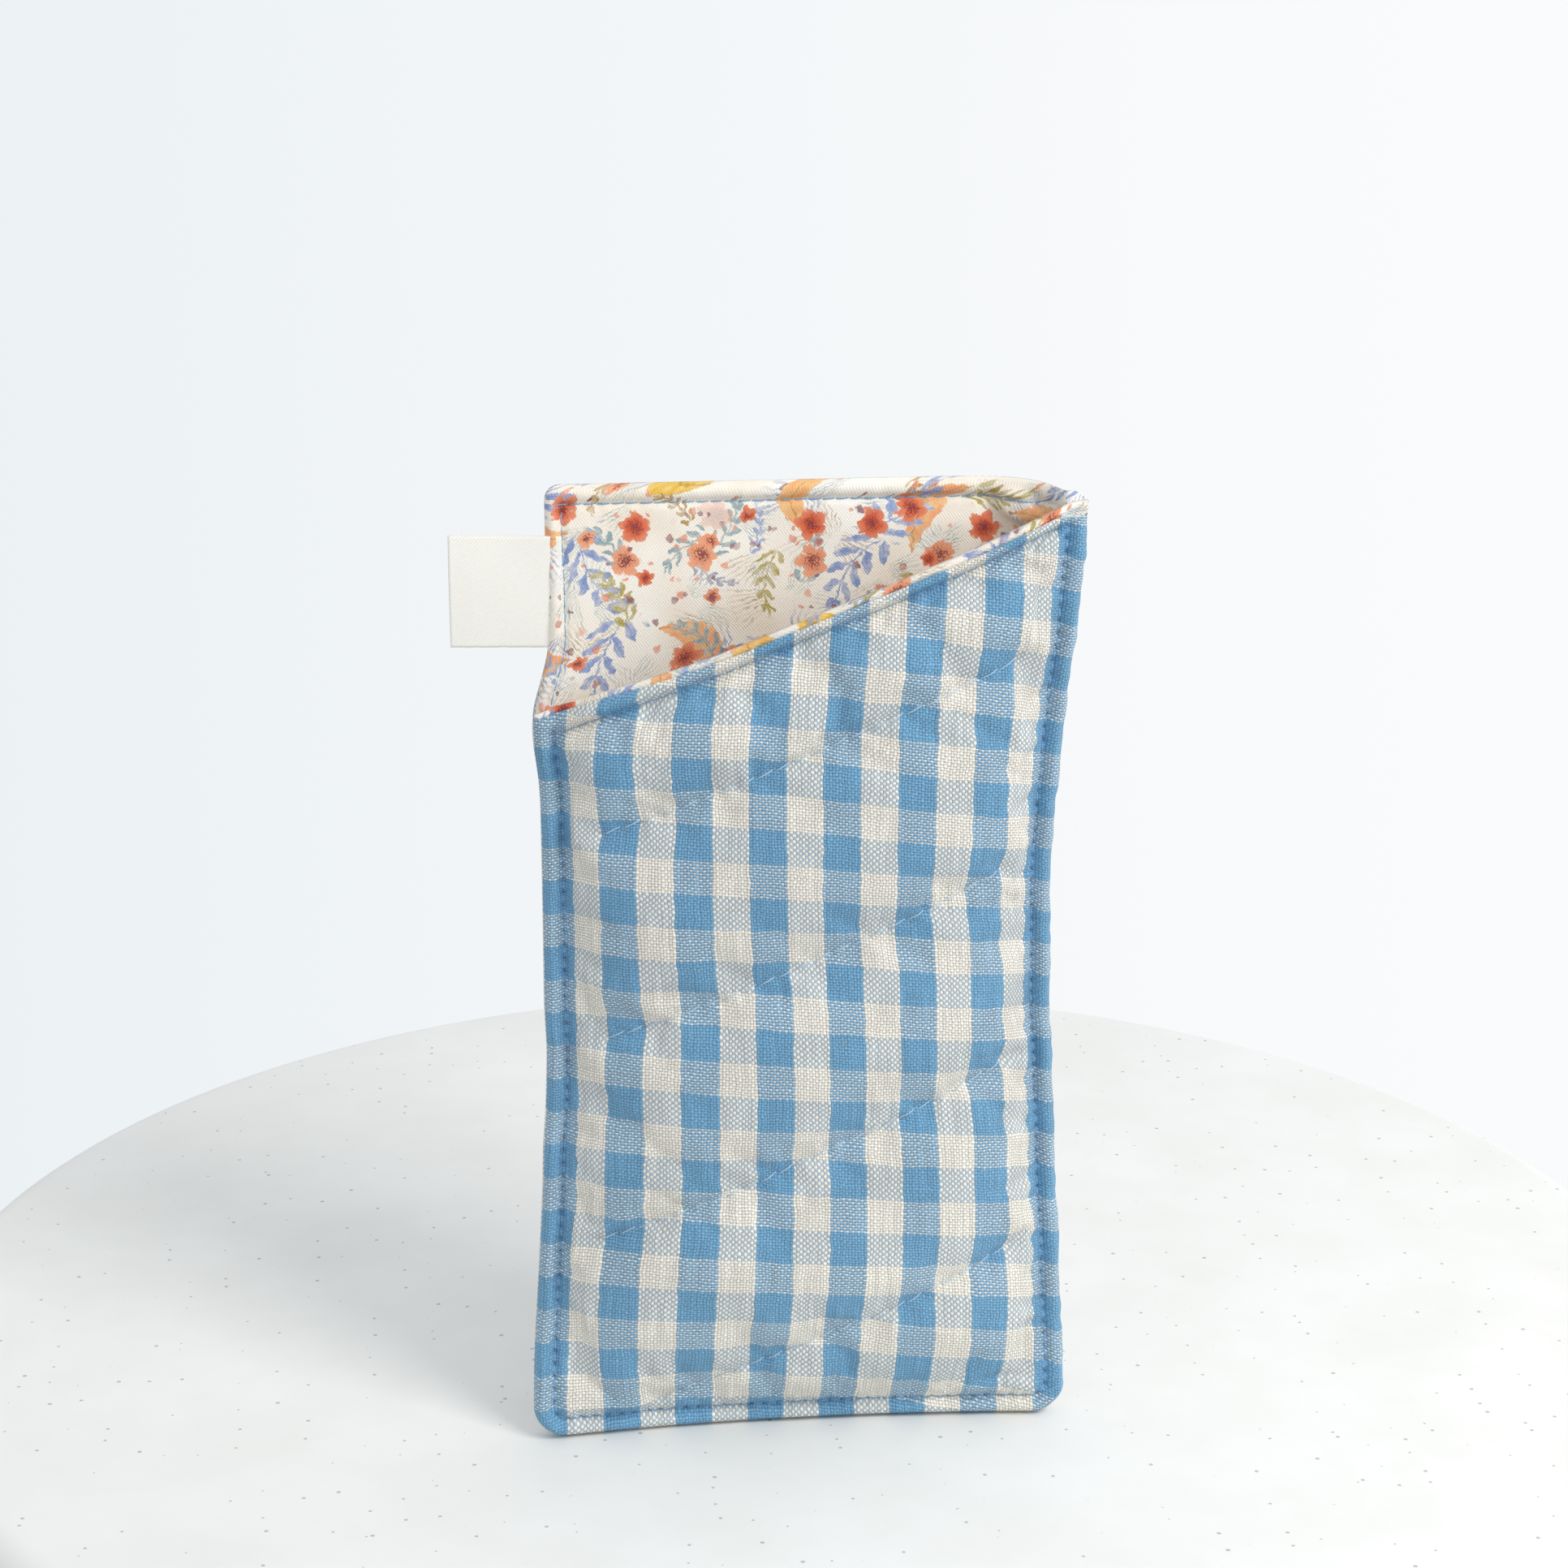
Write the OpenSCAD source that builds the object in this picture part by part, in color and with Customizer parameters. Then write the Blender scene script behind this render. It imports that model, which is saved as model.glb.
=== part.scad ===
// Soft pouch glasses case, standing on its bottom seam.
// Two quilted walls, each of gingham, wadding and lining, are sewn together round the sides and
// the base, turned right side out and topstitched. The front wall is cut low with a slanted mouth.
// +Z is up and the front faces -Y. The origin is on the table, in the middle of the base.

/* [Case] */
// Width over the turned side edges at the base, where the case is flat
case_w = 96; // [84:1:110]
// Height of the back wall
case_h = 170; // [150:1:195]
// Height of the mouth at its low left corner
mouth_low = 130.6; // [110:0.2:140]
// Height of the mouth at its high right corner
mouth_high = 170.6; // [140:0.2:171]
// Radius of the two bottom corners
base_corner_r = 6; // [3:0.5:10]
// Radius of the back wall's top corners
top_corner_r = 2.5; // [1:0.5:5]

/* [Layers] */
// Thickness of the gingham
outer_t = 0.6; // [0.4:0.05:0.8]
// Thickness of the printed lining
lining_t = 0.4; // [0.3:0.05:0.6]
// Thickness of the wadding in the middle of a wall
wadding_t = 3; // [2:0.1:4]
// Thickness of the wadding where the topstitch pinches it
pinched_t = 0.5; // [0.4:0.05:0.8]
// Thickness of the wadding in the turned edge, outside the topstitch
edge_wadding_t = 1.4; // [1:0.1:1.8]
// Clearance between one layer and the next
layer_gap = 0.1; // [0.05:0.01:0.15]

/* [Seams] */
// Distance of the topstitch from the sewn edges
edge_stitch = 4; // [3:0.25:6]
// Distance of the topstitch below the mouth
mouth_stitch = 4.2; // [3:0.2:7]
// Thickness of the sewing thread, drawn as one plain line for each row of stitches
thread_d = 0.4; // [0.3:0.05:0.5]
// Clearance between the thread and the cloth under it
thread_gap = 0.2; // [0.1:0.01:0.3]
// Height between one slanted row of quilting and the next
quilt_pitch = 36.4; // [25:0.2:50]
// Rise of a row of quilting for each millimetre to the right
quilt_slope = 0.45; // [0.3:0.01:0.6]

/* [Stance] */
// How far the front wall is puffed out of its seams
front_puff = 10; // [5:0.2:12]
// How far the back wall is puffed out of its seams
back_puff = 7.4; // [4:0.2:9]
// How far the left seam leans back at the top
left_lean = 4.2; // [0:0.2:7]
// How far the right seam is drawn forward at the top
right_pull = 10.5; // [6:0.5:14]
// How far the left side is drawn in where the walls are puffed
left_draw = 4.1; // [1:0.2:5]
// How much further the left side is drawn in above the mouth, where it is the back wall alone
left_tuck = 1.6; // [0:0.2:3]
// How far the right side is drawn in where the walls are puffed
right_draw = 5; // [1:0.2:7]
// How far the right side comes out again at the open mouth
right_flare = 4; // [0:0.2:5]
// How far the base bows back in the middle
base_bow = 2.6; // [1:0.1:3]
// How far the walls stand back from the base, so that their weight is over it
walls_back = 1.4; // [0:0.1:3]

/* [Label] */
// Length of the folded tape that stands out of the seam
label_l = 16; // [12:0.5:20]
// Width of the tape, which is the label's height
label_h = 19; // [15:0.2:22]
// Distance of the label below the top of the back wall
label_drop = 8.4; // [8:0.2:13]
// Thickness of one layer of tape
tape_t = 0.4; // [0.3:0.05:0.5]
// Angle of the label to the case, back from the front
label_turn = 6; // [0:1:12]
// Clearance between the label's fold line and the seam it flaps on
label_gap = 0.35; // [0.3:0.05:0.6]

/* [Hidden] */

FRONT = -1;
BACK = 1;
// Colours of the cloths and threads.
gingham_blue = "#7FA7CE";
back_blue = "#6E9AC6";
wadding_white = "#F4F1E8";
lining_cream = "#EFE4D6";
thread_cream = "#E8E0CC";
tape_ivory = "#F6F1E4";

// Height over which a wall swells out of the base seam.
swell_h = 46;
// Fullness of the puffed walls: higher is flatter in the middle and steeper at the seams.
fullness = 2.6;
// Shares of their puff that the front wall loses at the mouth and the back wall at the top.
mouth_ease = 0.35;
top_ease = 0.95;
// Sharpness of the back wall's turn into the right seam at the top.
corner_power = 22;
// Height at which the right seam starts to be drawn forward.
pull_z = 40;
// Height to which the table presses the base edge flat.
base_flat = 1;
// Heights at which the sides are drawn in the most, and over which the left side is tucked in.
left_waist_z = 74;
right_waist_z = 112;
tuck_h = 14;
// Half the clearance between the two walls where they are sewn together.
half_gap = layer_gap / 2;
// The turned edge of the gingham: how far inside it the other layers begin.
inset = outer_t + layer_gap;
// Distance over which the wadding gets its full thickness beyond the topstitch.
spread = 5;
// Width of the steep strip of wall beside the topstitch, and of the facets further in.
pinch_w = 2;
facet_w = 8.2;
// Distance over which a wall turns out of its flat edge beyond the topstitch.
lean_w = 8;
// Height of the lowest quilting row, if it ran on to the left edge.
quilt_first = -3.6;
// Distances of the quilting's ends inside the side topstitch, above the base one and below a wall's top.
quilt_end = 6.5;
quilt_low = 3;
quilt_high = 8;
// Height of a thread's middle over the cloth under it.
thread_lift = thread_d / 2 + thread_gap;

function lerp(a, b, t) = a + (b - a) * t;
function clamp01(t) = max(0, min(1, t));
function smooth(t) = let (c = clamp01(t)) c * c * (3 - 2 * c);

// Height of a wall's upper edge at x.
function top_z(side, x) = side == BACK ? case_h : lerp(mouth_low, mouth_high, x / case_w + 0.5);

// The case's left and right sides at height z, drawn in by the puffed walls.
function left_side(z) = -case_w / 2 + left_draw * smooth(z / left_waist_z)
    + left_tuck * smooth((z - mouth_low) / tuck_h);
function right_side(z) = case_w / 2 - right_draw * smooth(z / right_waist_z)
    + right_flare * smooth((z - right_waist_z) / (case_h - right_waist_z));

// A wall's left and right edges at height z, with its corners rounded.
function corner_cut(r, h) = h >= r ? 0 : r - sqrt(max(0, r * r - (r - h) * (r - h)));
function corners_cut(side, z) = corner_cut(base_corner_r, z)
    + (side == BACK ? corner_cut(top_corner_r, case_h - z) : 0);
function left_x(side, z) = left_side(z) + corners_cut(side, z);
function right_x(side, z) = right_side(z) - corners_cut(side, z);

// The two side seams, seen from the side, and how far the walls have swollen at height z.
function left_y(z) = walls_back * swell(z) + left_lean * pow(z / case_h, 3);
function right_y(z) = walls_back * swell(z) - right_pull * smooth((z - pull_z) / (case_h - pull_z));
function swell(z) = 1 - pow(1 - clamp01((z - edge_stitch) / swell_h), 2.5);
function bow(u, z) = base_bow * (4 * u * (1 - u) - 0.5) * (1 - swell(z));
function turn_power(side, z) = side == FRONT ? 1 : lerp(1, corner_power, smooth(z / case_h * 1.6 - 0.6));
function puff(side, z) = side == FRONT ? front_puff * (1 - mouth_ease * smooth(z / case_h * 2.5 - 1.5))
    : back_puff * (1 - top_ease * smooth(z / case_h * 2 - 1));

// The inner face of a wall, at u from 0 at the left topstitch to 1 at the right one.
function face_y(side, u, z) = let (c = clamp01(u))
    lerp(left_y(z), right_y(z), pow(c, turn_power(side, z))) + bow(c, z)
    + side * (half_gap + puff(side, z) * swell(z) * (1 - pow(abs(2 * c - 1), fullness)));

function across(x, z) = let (
        from = left_side(z) + edge_stitch,
        to = right_side(z) - edge_stitch
    ) (x - from) / (to - from);

// Outward direction of a wall at x, level with the table. It is straight back or forward in the turned
// edges and the topstitch, and from there it comes to lean with the wall.
function outward(side, x, z) = let (
        step = 0.5,
        lean = smooth((min(x - left_side(z), right_side(z) - x) - edge_stitch) / lean_w),
        rise = lean * (face_y(side, across(x + step, z), z) - face_y(side, across(x - step, z), z)) / (2 * step)
    ) [-side * rise, side] / sqrt(1 + rise * rise);

// Distance of a point on a wall from the nearest turned edge. The base edge is pressed flat below base_flat.
function edge_distance(side, x, z) =
    min(x - left_x(side, z), right_x(side, z) - x, max(z, base_flat), top_z(side, x) - z);

// Thickness of the wadding at a distance from the edge: full, pinched at the stitches, round outside.
function wadding_at(d) = d < edge_stitch
    ? lerp(pinched_t, edge_wadding_t, sin(180 * (d + 0.15 * edge_stitch) / (1.15 * edge_stitch)))
    : wadding_t + (pinched_t - wadding_t) * exp((edge_stitch - d) / spread);

// A point of a wall at a height off its inner face.
function wall_point(side, x, z, lift) = let (o = outward(side, x, z))
    [x + o[0] * lift, face_y(side, across(x, z), z) + o[1] * lift, z];

// Height of the gingham's outer face off the lining's inner face.
function wall_t(side, x, z) = lining_t + layer_gap + wadding_at(edge_distance(side, x, z)) + layer_gap + outer_t;

// Distances from an edge at which the walls have a line of points. The first two lie in the turn,
// and the one at STITCH_MARK is the topstitch. The stitches at the mouth and the quilting start at theirs.
EDGE_MARKS = [
    0, outer_t, inset, edge_stitch / 2, edge_stitch, edge_stitch + pinch_w,
    for (i = [0:3]) edge_stitch + quilt_end + i * facet_w
];
TURN_MARKS = 2;
STITCH_MARK = 4;
MOUTH_STITCH_MARK = 5;
QUILT_MARK = 6;
MIDDLE_ROWS = 6;
TOP_MARKS = 7;

function marks(skip) = [for (i = [skip:len(EDGE_MARKS) - 1]) EDGE_MARKS[i]];
function reversed(list) = [for (i = [len(list) - 1:-1:0]) list[i]];

// Columns across a wall: x at height z, at the marks from its left edge, its middle and its right edge.
function columns(side, skip, z) = let (left = left_x(side, z), right = right_x(side, z)) concat(
    [for (m = marks(skip)) left + m], [(left + right) / 2], [for (m = reversed(marks(skip))) right - m]);

// Rows up a wall whose upper edge is at top.
function rows(skip, top) = let (
        low = marks(skip),
        high = [for (i = [TOP_MARKS - 1:-1:skip]) top - EDGE_MARKS[i]],
        from = low[len(low) - 1],
        to = high[0]
    ) concat(low, [for (i = [1:MIDDLE_ROWS]) lerp(from, to, i / (MIDDLE_ROWS + 1))], high);

function column_count(skip) = 2 * len(marks(skip)) + 1;
function row_count(skip) = len(rows(skip, case_h));

// The wall's point at column i and row j, as [x, z].
function grid_point(side, skip, i, j) = let (
        z = rows(skip, top_z(side, columns(side, skip, case_h / 2)[i]))[j]
    ) [columns(side, skip, z)[i], z];

// One layer of a wall: a closed slab between two heights off the wall's inner face.
// skip is the number of edge marks left out, so that the layer lies inside the gingham's turn.
module layer(side, skip, low, high) {
    n = column_count(skip);
    m = row_count(skip);
    grid = [for (j = [0:m - 1]) [for (i = [0:n - 1]) concat(grid_point(side, skip, i, j), [i, j])]];
    function face(height) = [for (row = grid) for (p = row)
        wall_point(side, p[0], p[1], height(p[0], p[1], p[2], p[3], n, m))];
    at = function (i, j, k) k * n * m + j * n + i;
    rim = concat(
        [for (i = [0:n - 1]) [i, 0]], [for (j = [1:m - 1]) [n - 1, j]],
        [for (i = [n - 2:-1:0]) [i, m - 1]], [for (j = [m - 2:-1:1]) [0, j]]);
    faces = concat(
        [for (j = [0:m - 2]) for (i = [0:n - 2]) for (k = [0, 1]) let (
            a = at(i, j, k), b = at(i + 1, j, k), c = at(i + 1, j + 1, k), d = at(i, j + 1, k)
        ) each (k == 0 ? [[a, b, c], [a, c, d]] : [[a, c, b], [a, d, c]])],
        [for (r = [0:len(rim) - 1]) let (
            p = rim[r], q = rim[(r + 1) % len(rim)],
            a = at(p[0], p[1], 0), b = at(q[0], q[1], 0), c = at(q[0], q[1], 1), d = at(p[0], p[1], 1)
        ) each [[a, d, c], [a, c, b]]]);
    polyhedron(
        points = concat(face(low), face(high)),
        faces = side == BACK ? [for (f = faces) reversed(f)] : faces);
}

// Whether a grid point lies in the turn of a sewn edge, or of the open upper edge.
function in_sewn_turn(i, j, n) = i < TURN_MARKS || i >= n - TURN_MARKS || j < TURN_MARKS;
function in_open_turn(j, m) = j >= m - TURN_MARKS;

// The gingham: it wraps the sewn edges up to the seam, and half the open edge.
module outer(side) {
    layer(side, 0,
        function (x, z, i, j, n, m) in_sewn_turn(i, j, n) ? 0
            : in_open_turn(j, m) ? wall_t(side, x, z) / 2 + half_gap
            : wall_t(side, x, z) - outer_t,
        function (x, z, i, j, n, m) wall_t(side, x, z));
}

module wadding(side) {
    layer(side, TURN_MARKS,
        function (x, z, i, j, n, m) lining_t + layer_gap,
        function (x, z, i, j, n, m) wall_t(side, x, z) - outer_t - layer_gap);
}

// The lining stops inside the gingham's turn, a little short of the wadding's top.
module lining(side) {
    layer(side, TURN_MARKS,
        function (x, z, i, j, n, m) 0,
        function (x, z, i, j, n, m) lining_t);
}

// A row of stitches drawn as one line of thread through a list of points.
module thread(points) {
    n = len(points);
    r = thread_d / 2;
    corners = [[1, 0], [0, 1], [-1, 0], [0, -1]];
    rings = [for (i = [0:n - 1]) let (
            along = points[min(n - 1, i + 1)] - points[max(0, i - 1)],
            t = along / norm(along),
            y_part = [0, 1, 0] - t * t[1],
            a = y_part / norm(y_part),
            b = cross(t, a)
        ) for (c = corners) points[i] + r * (c[0] * a + c[1] * b)];
    faces = concat(
        [[0, 1, 2, 3]],
        [for (i = [0:n - 2]) for (k = [0:3]) let (q = 4 * i + (k + 1) % 4, p = 4 * i + k)
            each [[p, q + 4, q], [p, p + 4, q + 4]]],
        [[for (k = [3:-1:0]) 4 * (n - 1) + k]]);
    polyhedron(points = rings, faces = faces);
}

// A point of thread on a wall's outer face.
function on_outer(side, x, z) = wall_point(side, x, z, wall_t(side, x, z) + thread_lift);

// The stitching line down the left side, round the base and up the right side of a wall. Up the sides
// it lies against the turned edge, clear of the steep strip of wall on its other side.
function edge_line(side) = let (
        left = STITCH_MARK,
        right = column_count(0) - 1 - STITCH_MARK,
        top = row_count(0) - 1 - STITCH_MARK,
        aside = [thread_d / 2, 0]
    ) [for (p = concat(
        [for (j = [top:-1:STITCH_MARK + 1]) grid_point(side, 0, left, j) - aside],
        [for (i = [left:right]) grid_point(side, 0, i, STITCH_MARK)],
        [for (j = [STITCH_MARK + 1:top]) grid_point(side, 0, right, j) + aside])
    ) on_outer(side, p[0], p[1])];

// The topstitch round the sewn edges: one line on the front wall, one on the back wall.
module edge_lines() {
    thread(edge_line(FRONT));
    thread(edge_line(BACK));
}

// A row of stitches across a wall's outer face at a height that follows x, where that lies within limits.
// It has a point on each of the wall's columns between two marks, and one halfway to the next.
module cross_row(side, mark, height, low, high) {
    points = [for (i = [0:0.5:column_count(mark) - 1]) let (
            at = function (z) (columns(side, mark, z)[floor(i)] + columns(side, mark, z)[ceil(i)]) / 2,
            z = height(at(case_h / 2)),
            x = at(z)
        ) if (z >= low && z <= top_z(side, x) - high) on_outer(side, x, z)];
    if (len(points) > 2) thread(points);
}

// The slanted rows of quilting, as many as the wall has room for.
module quilting(side) {
    for (k = [0:ceil(case_h / quilt_pitch)])
        cross_row(side, QUILT_MARK,
            function (x) quilt_first + k * quilt_pitch + quilt_slope * (x + case_w / 2),
            edge_stitch + quilt_low, quilt_high);
}

module front_outer() { color(gingham_blue) outer(FRONT); }
module front_wadding() { color(wadding_white) wadding(FRONT); }
module front_lining() { color(lining_cream) lining(FRONT); }
module back_outer() { color(back_blue) outer(BACK); }
module back_wadding() { color(wadding_white) wadding(BACK); }
module back_lining() { color(lining_cream) lining(BACK); }
module edge_topstitch() { color(thread_cream) edge_lines(); }
module mouth_topstitch() {
    color(thread_cream)
        cross_row(FRONT, MOUTH_STITCH_MARK, function (x) top_z(FRONT, x) - mouth_stitch, 0, 0);
}
module front_quilting() { color(thread_cream) quilting(FRONT); }
module back_quilting() { color(thread_cream) quilting(BACK); }

// The label: one tape folded in half, with its fold at the free end and its cut ends at the seam,
// halfway through the turned edge of the back wall.
module label_tab() {
    half_t = tape_t + half_gap;
    mid_z = case_h - label_drop - label_h / 2;
    seam = wall_point(BACK, left_side(mid_z), mid_z, wall_t(BACK, left_side(mid_z), mid_z) / 2);
    color(tape_ivory)
        translate([seam[0] - label_gap - half_t, seam[1], mid_z - label_h / 2])
            rotate([0, 0, 180 - label_turn])
                linear_extrude(height = label_h) difference() {
                    union() {
                        circle(r = half_t, $fn = 32);
                        translate([0, -half_t]) square([label_l - half_t, 2 * half_t]);
                        translate([label_l - half_t, 0]) circle(r = half_t, $fn = 32);
                    }
                    translate([-half_t, -half_gap]) square([label_l, layer_gap]);
                }
}

front_outer();
front_wadding();
front_lining();
back_outer();
back_wadding();
back_lining();
edge_topstitch();
mouth_topstitch();
front_quilting();
back_quilting();
label_tab();
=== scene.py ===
"""Soft pouch glasses case: its cloth, wadding, threads and label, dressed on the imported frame."""
import math

import bpy
import numpy as np
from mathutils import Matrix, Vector
from mathutils.bvhtree import BVHTree


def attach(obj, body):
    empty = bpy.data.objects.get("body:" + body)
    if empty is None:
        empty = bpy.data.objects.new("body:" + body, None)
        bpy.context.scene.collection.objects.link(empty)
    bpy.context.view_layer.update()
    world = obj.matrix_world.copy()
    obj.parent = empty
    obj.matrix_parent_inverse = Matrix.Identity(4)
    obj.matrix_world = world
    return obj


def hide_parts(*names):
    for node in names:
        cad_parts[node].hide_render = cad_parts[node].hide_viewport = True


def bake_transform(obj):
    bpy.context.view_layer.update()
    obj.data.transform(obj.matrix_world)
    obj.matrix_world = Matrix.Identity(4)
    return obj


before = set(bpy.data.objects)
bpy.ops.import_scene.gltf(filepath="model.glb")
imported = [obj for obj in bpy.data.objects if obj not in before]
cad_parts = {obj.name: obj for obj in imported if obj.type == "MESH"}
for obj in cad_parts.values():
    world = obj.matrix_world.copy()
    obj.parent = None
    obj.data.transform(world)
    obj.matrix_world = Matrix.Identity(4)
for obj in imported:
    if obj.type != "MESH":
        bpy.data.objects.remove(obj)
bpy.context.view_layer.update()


# ------------------------------
# Gingham panels, front and back
# Yarn-dyed cotton gingham in plain weave, wrapped over the wadding and sewn together down both
# sides and along the base. It rolls round the edges to the seam, dips at each stitch and puffs up
# between the quilting rows. Lengths are millimetres, with +Z up and the front at -Y.
# ------------------------------
FRONT, BACK = -1, 1
case_w, case_h = 96.0, 170.0
mouth_low, mouth_high = 129.8, 171.4
base_corner_r, top_corner_r = 6.0, 2.5
edge_stitch, mouth_stitch = 3.6, 4.2
left_waist_z, right_waist_z = 74.0, 112.0
left_draw, top_left_draw, right_draw, right_flare = 3.6, 2.0, 5.0, 4.0
shoulder_z, shoulder_out = 128.0, 1.1
swell_h, base_bow, wall_gap = 46.0, 2.6, 0.05
front_puff, back_puff = 10.0, 7.4
walls_back, left_lean, right_pull, pull_z = 1.4, 4.2, 10.5, 40.0


def lerp(a, b, t):
    return a + (b - a) * t


def smooth(t):
    t = np.clip(t, 0, 1)
    return t * t * (3 - 2 * t)


def hump(distance, width):
    return np.exp(-(distance / width) ** 2)


def wander(a, b, lump, seed):
    """A smooth random field from -1 to 1 with lumps of about the given size."""
    table = np.random.default_rng(seed).uniform(-1, 1, (64, 64))
    a, b = np.broadcast_arrays(np.asarray(a, float) / lump, np.asarray(b, float) / lump)
    i, j = np.floor(a).astype(int), np.floor(b).astype(int)
    s, t = smooth(a - i), smooth(b - j)

    def corner(di, dj):
        return table[(i + di) % 64, (j + dj) % 64]
    return lerp(lerp(corner(0, 0), corner(1, 0), s), lerp(corner(0, 1), corner(1, 1), s), t)


def top_z(side, x):
    return case_h + 0 * x if side == BACK else lerp(mouth_low, mouth_high, x / case_w + 0.5)


def left_side(z):
    """The left side, drawn in by the puffed walls, with a shoulder where the front wall ends."""
    drawn = 0.5 + left_draw * smooth(z / left_waist_z) + top_left_draw * smooth((z - 130.6) / 14)
    return -case_w / 2 + drawn - shoulder_out * hump(z - shoulder_z, 6.5) + 0.18 * wander(z, 0, 9, 71)


def right_side(z):
    flare = right_flare * smooth((z - right_waist_z) / (case_h - right_waist_z))
    drawn = right_draw * smooth(z / right_waist_z) - flare
    wavy = case_w / 2 - drawn + 0.22 * wander(z, 0, 7, 73) + 0.14 * wander(z, 0, 2.2, 75)
    return wavy + 0.4 * hump(z - 124, 7)


def side_cut(side, z):
    """How far the rounded corners cut into the sides at height z."""
    def cut(radius, height):
        return np.where(height >= radius, 0,
                        radius - np.sqrt(np.maximum(0, radius**2 - (radius - height) ** 2)))
    return cut(base_corner_r, z) + (cut(top_corner_r, case_h - z) if side == BACK else 0)


def swell(z):
    return 1 - (1 - np.clip((z - edge_stitch) / swell_h, 0, 1)) ** 2.5


def left_y(z):
    return walls_back * swell(z) + left_lean * (z / case_h) ** 3


def right_y(z):
    return walls_back * swell(z) - right_pull * smooth((z - pull_z) / (case_h - pull_z))


def inner_y(side, u, z):
    """The inner face of a wall, at u from 0 at the left topstitch to 1 at the right one."""
    u = np.clip(u, 0, 1)
    if side == FRONT:
        turn, puff = 1.0, front_puff * (1 - 0.35 * smooth(z / case_h * 2.5 - 1.5))
    else:
        turn = lerp(1, 22, smooth(z / case_h * 1.6 - 0.6))
        puff = back_puff * (1 - 0.95 * smooth(z / case_h * 2 - 1))
    bow = base_bow * (4 * u * (1 - u) - 0.5) * (1 - swell(z))
    return lerp(left_y(z), right_y(z), u**turn) + bow + side * (
        wall_gap + puff * swell(z) * (1 - np.abs(2 * u - 1) ** 2.6))


def across(x, z):
    start, end = left_side(z) + edge_stitch, right_side(z) - edge_stitch
    return (x - start) / (end - start)


def wall_point(side, x, z, lift):
    """A point of a wall, lifted off its inner face. Returns metres."""
    lean = smooth((np.minimum(x - left_side(z), right_side(z) - x) - edge_stitch) / 8)
    rise = lean * (inner_y(side, across(x + 0.5, z), z) - inner_y(side, across(x - 0.5, z), z))
    length = np.sqrt(1 + rise**2)
    return np.stack([
        x - side * rise / length * lift,
        inner_y(side, across(x, z), z) + side / length * lift,
        z + 0 * x], -1) * 0.001


def beside_edge(x, z):
    return np.minimum(x - left_side(z), right_side(z) - x)


def sewn_distance(x, z):
    """Distance of a point on a wall from the sewn edges, with their rounded corners."""
    beside = beside_edge(x, z)
    in_corner = (beside < base_corner_r) & (z < base_corner_r)
    rounded = base_corner_r - np.hypot(base_corner_r - beside, base_corner_r - z)
    return np.maximum(np.where(in_corner, rounded, np.minimum(beside, z)), 0)


def edge_distance(side, x, z, sewn, below):
    """Distance of a point from the nearest edge of its wall, round the back wall's top corners too."""
    beside = beside_edge(x, z)
    in_corner = (side == BACK) & (beside < top_corner_r) & (below < top_corner_r)
    rounded = top_corner_r - np.hypot(top_corner_r - beside, top_corner_r - below)
    return np.maximum(np.where(in_corner, rounded, np.minimum(sewn, below)), 0)


# Lockstitch rows: holes down both sides and round the base, along the mouth, and in slanted rows of
# quilting. Each hole pulls the cloth down.
stitch_l, quilt_stitch_l = 2.35, 3.3
quilt_slope, quilt_pitch, quilt_first = 0.45, 36.4, -3.6
quilt_end = 10.5


def spaced_along(points, step):
    """Points at equal steps along a line of (x, z) points."""
    points = np.array(points, float)
    run = np.concatenate([[0], np.cumsum(np.hypot(*np.diff(points, axis=0).T))])
    at = np.linspace(0, run[-1], max(2, int(round(run[-1] / step)) + 1))
    return np.stack([np.interp(at, run, points[:, k]) for k in (0, 1)], -1)


def edge_line(side):
    """The topstitch down the left side, round the base and up the right side of a wall."""
    turn = base_corner_r - edge_stitch
    bend = [(turn * (1 - math.cos(t)), turn * (1 - math.sin(t))) for t in np.radians([20, 45, 70])]
    heights = np.arange(base_corner_r, case_h - edge_stitch, 1.0)
    sides = [[(x, z) for x, z in zip(edge, heights) if z < top_z(side, x) - 3.6]
             for edge in (left_side(heights) + edge_stitch, right_side(heights) - edge_stitch)]
    start, end = left_side(edge_stitch) + edge_stitch, right_side(edge_stitch) - edge_stitch
    low_left = [(start + a, edge_stitch + b) for a, b in bend] + [(start + turn, edge_stitch)]
    low_right = [(end - turn, edge_stitch)] + [(end - a, edge_stitch + b) for a, b in reversed(bend)]
    return sides[0][::-1] + low_left + low_right + sides[1]


def quilt_lines(side):
    """The slanted rows, each with its number, from well inside one side topstitch to the other."""
    lines = {}
    x = np.linspace(-case_w / 2, case_w / 2, 120)
    for k in range(6):
        z = quilt_first + k * quilt_pitch + quilt_slope * (x + case_w / 2)
        inside = (z > edge_stitch + 3) & (z < top_z(side, x) - 8) & (beside_edge(x, z) > quilt_end)
        if inside.sum() > 8:
            lines[k] = spaced_along(np.stack([x[inside], z[inside]], -1), quilt_stitch_l)
    return lines


edge_holes = {side: spaced_along(edge_line(side), stitch_l) for side in (FRONT, BACK)}
quilt_holes = {side: quilt_lines(side) for side in (FRONT, BACK)}
mouth_x = np.linspace(-39.4, 41.4, 60)
mouth_holes = spaced_along(np.stack([mouth_x, top_z(FRONT, mouth_x) - mouth_stitch], -1), stitch_l)


def near_holes(x, z, holes, reach):
    """How near each point is to a hole, from 0 far away to 1 at a hole."""
    out = np.zeros(x.shape)
    for hole_x, hole_z in holes:
        out = np.maximum(out, np.exp(-((x - hole_x) ** 2 + (z - hole_z) ** 2) / reach**2))
    return out


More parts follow.
